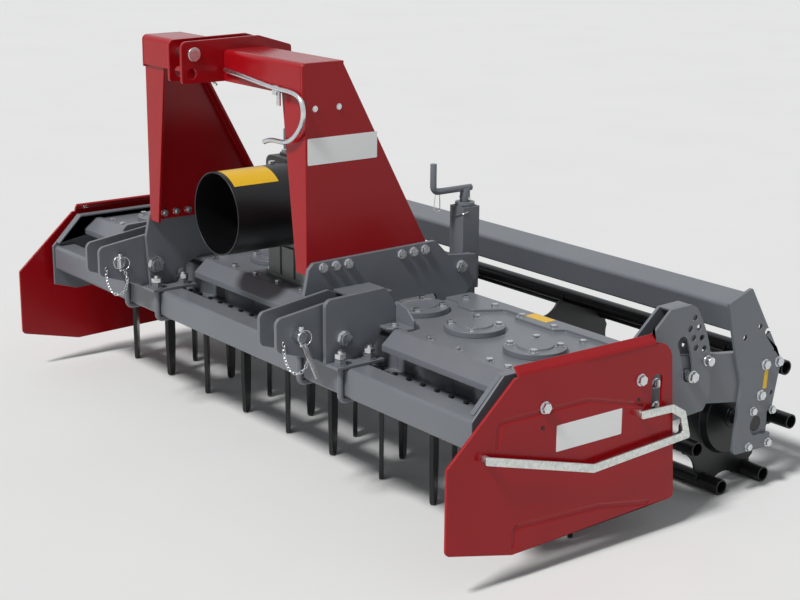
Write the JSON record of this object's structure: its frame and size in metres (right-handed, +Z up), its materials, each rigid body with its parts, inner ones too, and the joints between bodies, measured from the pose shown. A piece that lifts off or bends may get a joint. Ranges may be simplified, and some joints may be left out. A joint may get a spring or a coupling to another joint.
{
  "type": "power harrow",
  "caption": "Tractor-mounted soil harrow with upright counter-rotating tined rotors under a gear trough, a three-point headstock and a rear cage roller that sets the depth.",
  "frame": {"origin": "on the floor, in the middle of the machine's width and of its length over all", "axes": "+X along the working width to the machine's left, -Y forwards to the tractor, +Z up"},
  "size_m": [2.17, 1.3104, 1.135],
  "materials": {
    "red_enamel": "gloss",
    "grey_enamel": "semi-gloss",
    "black_enamel": "semi-gloss",
    "zinc_steel": "zinc plated",
    "galvanised_steel": "galvanised",
    "black_plastic": "gloss",
    "bare_steel": "machined"
  },
  "bodies": {
    "frame": {"front_bar": "grey_enamel", "end_plate_left": "grey_enamel", "end_plate_right": "grey_enamel", "sector_walls": "grey_enamel", "trough": "grey_enamel", "trough_cover": "grey_enamel", "bearing_housings": "grey_enamel", "rotor_caps": "grey_enamel", "front_guard": "grey_enamel", "gearbox": "grey_enamel", "pto_guard": "black_plastic", "bar_clamps": "grey_enamel", "u_bolts": "grey_enamel", "hitch_plates": "grey_enamel", "clevis_plates": "grey_enamel", "hitch_cheeks": "grey_enamel", "lower_pins": "zinc_steel", "mast_arm_left": "red_enamel", "mast_arm_right": "red_enamel", "mast_beam": "red_enamel", "top_link_ears": "red_enamel", "top_link_pin": "zinc_steel", "shaft_hook": "zinc_steel", "side_plate_left": "red_enamel", "side_plate_right": "red_enamel", "side_spacers": "zinc_steel", "guard_bars": "galvanised_steel", "crank_tubes": "grey_enamel", "crank_handles": "zinc_steel", "pivot_pins": "zinc_steel"},
    "roller_frame": {"roller_arms": "grey_enamel", "roller_end_plates": "grey_enamel", "slot_bolts": "zinc_steel", "rear_bar": "grey_enamel"},
    "roller": {"roller_tubes": "black_enamel", "roller_discs": "black_enamel", "roller_axle": "black_enamel"},
    "input": {"input_shaft": "bare_steel"},
    "levelling": {"levelling_bar": "grey_enamel"},
    "rotor_1": {"rotor_1": "black_enamel", "tines_1": "black_enamel"},
    "rotor_2": {"rotor_2": "black_enamel", "tines_2": "black_enamel"},
    "rotor_3": {"rotor_3": "black_enamel", "tines_3": "black_enamel"},
    "rotor_4": {"rotor_4": "black_enamel", "tines_4": "black_enamel"},
    "rotor_5": {"rotor_5": "black_enamel", "tines_5": "black_enamel"},
    "rotor_6": {"rotor_6": "black_enamel", "tines_6": "black_enamel"},
    "rotor_7": {"rotor_7": "black_enamel", "tines_7": "black_enamel"},
    "rotor_8": {"rotor_8": "black_enamel", "tines_8": "black_enamel"},
    "rotor_9": {"rotor_9": "black_enamel", "tines_9": "black_enamel"}
  },
  "joints": [
    {"name": "roller_lift", "type": "hinge", "parent": "frame", "child": "roller_frame", "pos_m": [0, -0.06919, 0.34], "axis": [1, 0, 0], "range_deg": [0, 20]},
    {"name": "roller_spin", "type": "hinge", "parent": "roller_frame", "child": "roller", "pos_m": [0, 0.45581, 0.18578], "axis": [1, 0, 0], "continuous": true},
    {"name": "rotor_5_spin", "type": "hinge", "parent": "frame", "child": "rotor_5", "pos_m": [0, -0.18919, 0.236], "axis": [0, 0, 1], "continuous": true},
    {"name": "rotor_4_spin", "type": "hinge", "parent": "frame", "child": "rotor_4", "pos_m": [-0.22, -0.18919, 0.236], "axis": [0, 0, 1], "continuous": true},
    {"name": "rotor_6_spin", "type": "hinge", "parent": "frame", "child": "rotor_6", "pos_m": [0.22, -0.18919, 0.236], "axis": [0, 0, 1], "continuous": true},
    {"name": "rotor_3_spin", "type": "hinge", "parent": "frame", "child": "rotor_3", "pos_m": [-0.44, -0.18919, 0.236], "axis": [0, 0, 1], "continuous": true},
    {"name": "rotor_7_spin", "type": "hinge", "parent": "frame", "child": "rotor_7", "pos_m": [0.44, -0.18919, 0.236], "axis": [0, 0, 1], "continuous": true},
    {"name": "rotor_2_spin", "type": "hinge", "parent": "frame", "child": "rotor_2", "pos_m": [-0.66, -0.18919, 0.236], "axis": [0, 0, 1], "continuous": true},
    {"name": "rotor_8_spin", "type": "hinge", "parent": "frame", "child": "rotor_8", "pos_m": [0.66, -0.18919, 0.236], "axis": [0, 0, 1], "continuous": true},
    {"name": "rotor_1_spin", "type": "hinge", "parent": "frame", "child": "rotor_1", "pos_m": [-0.88, -0.18919, 0.236], "axis": [0, 0, 1], "continuous": true},
    {"name": "rotor_9_spin", "type": "hinge", "parent": "frame", "child": "rotor_9", "pos_m": [0.88, -0.18919, 0.236], "axis": [0, 0, 1], "continuous": true},
    {"name": "input_spin", "type": "hinge", "parent": "frame", "child": "input", "pos_m": [0, -0.38119, 0.677], "axis": [0, -1, 0], "continuous": true},
    {"name": "levelling_slide", "type": "slide", "parent": "frame", "child": "levelling", "axis": [0, 0, 1], "range_m": [-0.05, 0.06]}
  ],
  "couplings": [
    {"joint": "rotor_4_spin", "follows": "rotor_5_spin", "ratio": -1},
    {"joint": "rotor_6_spin", "follows": "rotor_5_spin", "ratio": -1},
    {"joint": "rotor_3_spin", "follows": "rotor_5_spin", "ratio": 1},
    {"joint": "rotor_7_spin", "follows": "rotor_5_spin", "ratio": 1},
    {"joint": "rotor_2_spin", "follows": "rotor_5_spin", "ratio": -1},
    {"joint": "rotor_8_spin", "follows": "rotor_5_spin", "ratio": -1},
    {"joint": "rotor_1_spin", "follows": "rotor_5_spin", "ratio": 1},
    {"joint": "rotor_9_spin", "follows": "rotor_5_spin", "ratio": 1},
    {"joint": "input_spin", "follows": "rotor_5_spin", "ratio": 2}
  ]
}
